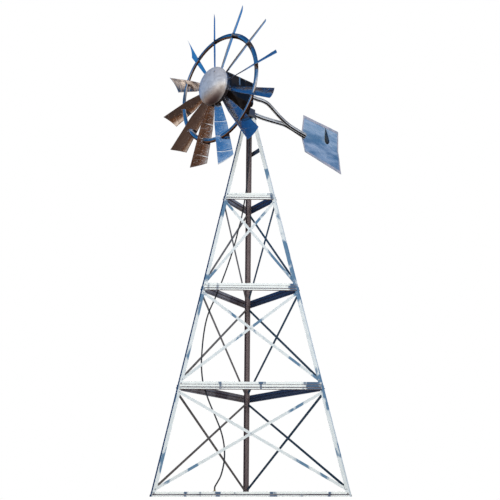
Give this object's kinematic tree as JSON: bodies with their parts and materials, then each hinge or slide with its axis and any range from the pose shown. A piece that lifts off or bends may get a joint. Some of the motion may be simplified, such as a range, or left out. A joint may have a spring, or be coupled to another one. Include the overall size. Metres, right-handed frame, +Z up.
{
  "type": "pond aeration windmill",
  "caption": "Three-legged lattice tower with formed girts and crossed braces, a yawing head with folded tail vane, and a ringed wheel of curved sheet blades behind a domed cap.",
  "frame": {"origin": "middle of the front sill's underside, on the ground; the mast axis stands 578.5 mm behind it on +Y", "axes": "+Z up along the mast, +X to the right seen from the front, +Y from the front sill towards the back leg"},
  "size_m": [2.224, 2.162, 5.3627],
  "materials": {
    "leg_steel": "galvanised steel, lightly spangled",
    "girt_steel": "bright galvanised sheet",
    "blade_sheet": "bright rolled galvanised sheet",
    "vane_sheet": "galvanised sheet",
    "spun_cap": "spun galvanised sheet",
    "black_paint": "satin black paint",
    "dark_steel": "weathered dark steel",
    "hose_rubber": "matt black",
    "fitting_brass": "dull brass"
  },
  "bodies": {
    "tower": {"air_hose": "hose_rubber", "brace_front_1": "leg_steel", "brace_front_2": "leg_steel", "brace_front_3": "leg_steel", "brace_left_1": "leg_steel", "brace_left_2": "leg_steel", "brace_left_3": "leg_steel", "brace_right_1": "leg_steel", "brace_right_2": "leg_steel", "brace_right_3": "leg_steel", "girt_front_1": "girt_steel", "girt_front_2": "girt_steel", "girt_front_3": "girt_steel", "girt_left_1": "girt_steel", "girt_left_2": "girt_steel", "girt_left_3": "girt_steel", "girt_right_1": "girt_steel", "girt_right_2": "girt_steel", "girt_right_3": "girt_steel", "hose_bracket": "leg_steel", "hose_fitting": "fitting_brass", "hose_socket": "fitting_brass", "leg_back": "leg_steel", "leg_front_left": "leg_steel", "leg_front_right": "leg_steel", "mast_cap": "dark_steel", "mast_guide_plate": "dark_steel", "mast_pipe": "dark_steel", "side_bar": "dark_steel", "sill_front": "girt_steel", "sill_left": "girt_steel", "sill_right": "girt_steel"},
    "head": {"casing": "black_paint", "swivel": "dark_steel", "tail_arm_lower": "leg_steel", "tail_arm_upper": "leg_steel", "tail_vane": "vane_sheet"},
    "wheel": {"blade_01": "blade_sheet", "blade_02": "blade_sheet", "blade_03": "blade_sheet", "blade_04": "blade_sheet", "blade_05": "blade_sheet", "blade_06": "blade_sheet", "blade_07": "blade_sheet", "blade_08": "blade_sheet", "blade_09": "blade_sheet", "blade_10": "blade_sheet", "blade_11": "blade_sheet", "blade_12": "blade_sheet", "hub": "dark_steel", "hub_cap": "spun_cap", "wheel_ring": "blade_sheet"}
  },
  "joints": [
    {"name": "head_yaw", "type": "hinge", "parent": "tower", "child": "head", "pos_m": [0, 0.57845, 4.01], "axis": [0, 0, 1], "continuous": true},
    {"name": "wheel_spin", "type": "hinge", "parent": "head", "child": "wheel", "pos_m": [-0.3359, 0.27601, 4.4223], "axis": [-0.7431, -0.6691, 0], "continuous": true}
  ]
}
